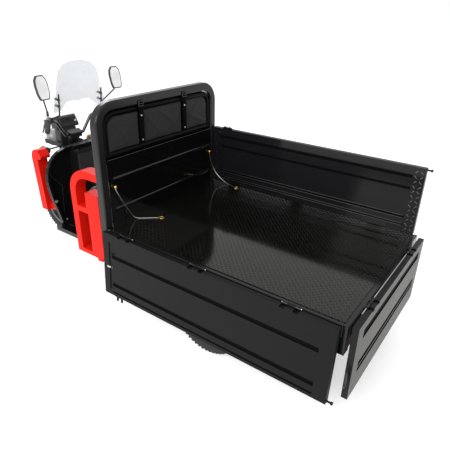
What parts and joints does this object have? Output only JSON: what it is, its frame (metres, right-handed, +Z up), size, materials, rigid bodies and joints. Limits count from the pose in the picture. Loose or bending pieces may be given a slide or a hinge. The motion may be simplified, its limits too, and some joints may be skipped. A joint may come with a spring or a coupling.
{
  "type": "electric cargo tricycle",
  "caption": "Open electric cargo tricycle: drop-side load bed behind a padded bulkhead arch, seat over the battery, foot floor, leg shield, and a steered front wheel with windscreen.",
  "frame": {"origin": "centre of the footprint on the ground, in the middle plane", "axes": "+X forward, +Y to the rider's left, +Z up"},
  "size_m": [2.971, 1.1441, 1.4175],
  "materials": {
    "black_paint": "gloss",
    "floor_paint": "semi-gloss",
    "red_paint": "gloss",
    "steel": "satin",
    "chrome": "polished",
    "alloy": "satin",
    "iron": "matte",
    "brass": "polished",
    "tyre": "matte",
    "grip_rubber": "matte",
    "pad_fabric": "woven",
    "seat_cover": "grained",
    "black_plastic": "matte",
    "gloss_plastic": "gloss",
    "white_plastic": "gloss",
    "grey_plastic": "matte",
    "red_lens": "gloss",
    "clear": "clear",
    "mirror": "polished"
  },
  "bodies": {
    "chassis": {"bed_floor": "floor_paint", "bed_side_sills": "black_paint", "bed_cross_sills": "black_paint", "bed_ribs": "black_paint", "main_rails": "black_paint", "corner_brackets": "black_paint", "low_rails": "black_paint", "low_crossmembers": "black_paint", "head_tube": "black_paint", "foot_floor": "black_paint", "bulkhead_arch": "black_paint", "bulkhead_panel": "black_paint", "backrest_frame": "black_paint", "backrest_pads": "pad_fabric", "backrest_straps": "pad_fabric", "seat_box": "black_paint", "battery": "grey_plastic", "seat_cushion": "seat_cover", "leg_shield": "gloss_plastic", "front_guards": "red_paint", "side_guards": "red_paint", "rear_axle": "iron", "drive_motor": "alloy", "leaf_springs": "iron", "rear_mudguards": "black_plastic", "tail_lamps": "red_lens", "bed_hinges": "steel", "stay_anchors": "brass", "stay_cables": "steel", "stay_rings": "brass"},
    "steering": {"fork": "chrome", "handlebar": "chrome", "grips": "grip_rubber", "headlamp": "white_plastic", "headlamp_lens": "clear", "dash": "black_plastic", "windscreen": "clear", "screen_rods": "black_plastic", "mirrors": "black_plastic", "mirror_glass": "mirror", "front_mudguard": "gloss_plastic", "front_indicators": "grey_plastic"},
    "front_wheel": {"front_rim": "alloy", "front_tyre": "tyre"},
    "rear_wheel_left": {"rear_rim_left": "alloy", "rear_tyre_left": "tyre"},
    "rear_wheel_right": {"rear_rim_right": "alloy", "rear_tyre_right": "tyre"},
    "left_side": {"left_panel": "black_paint"},
    "right_side": {"right_panel": "black_paint"},
    "tailgate": {"tailgate_panel": "black_paint"}
  },
  "joints": [
    {"name": "steer", "type": "hinge", "parent": "chassis", "child": "steering", "pos_m": [1.23, 0, 0.24], "axis": [-0.3811, 0, 0.9245], "range_deg": [-40, 40]},
    {"name": "front_wheel_spin", "type": "hinge", "parent": "steering", "child": "front_wheel", "pos_m": [1.23, 0, 0.24], "axis": [0, 1, 0], "continuous": true},
    {"name": "rear_wheel_left_spin", "type": "hinge", "parent": "chassis", "child": "rear_wheel_left", "pos_m": [-0.645, 0.435, 0.24], "axis": [0, 1, 0], "continuous": true},
    {"name": "rear_wheel_right_spin", "type": "hinge", "parent": "chassis", "child": "rear_wheel_right", "pos_m": [-0.645, -0.435, 0.24], "axis": [0, 1, 0], "continuous": true},
    {"name": "left_side_fold", "type": "hinge", "parent": "chassis", "child": "left_side", "pos_m": [-0.687, 0.53, 0.588], "axis": [1, 0, 0], "range_deg": [0, 176]},
    {"name": "right_side_fold", "type": "hinge", "parent": "chassis", "child": "right_side", "pos_m": [-0.687, -0.53, 0.588], "axis": [1, 0, 0], "range_deg": [0, 176]},
    {"name": "tailgate_fold", "type": "hinge", "parent": "chassis", "child": "tailgate", "pos_m": [-1.45, 0, 0.588], "axis": [0, 1, 0], "range_deg": [0, 180]}
  ]
}
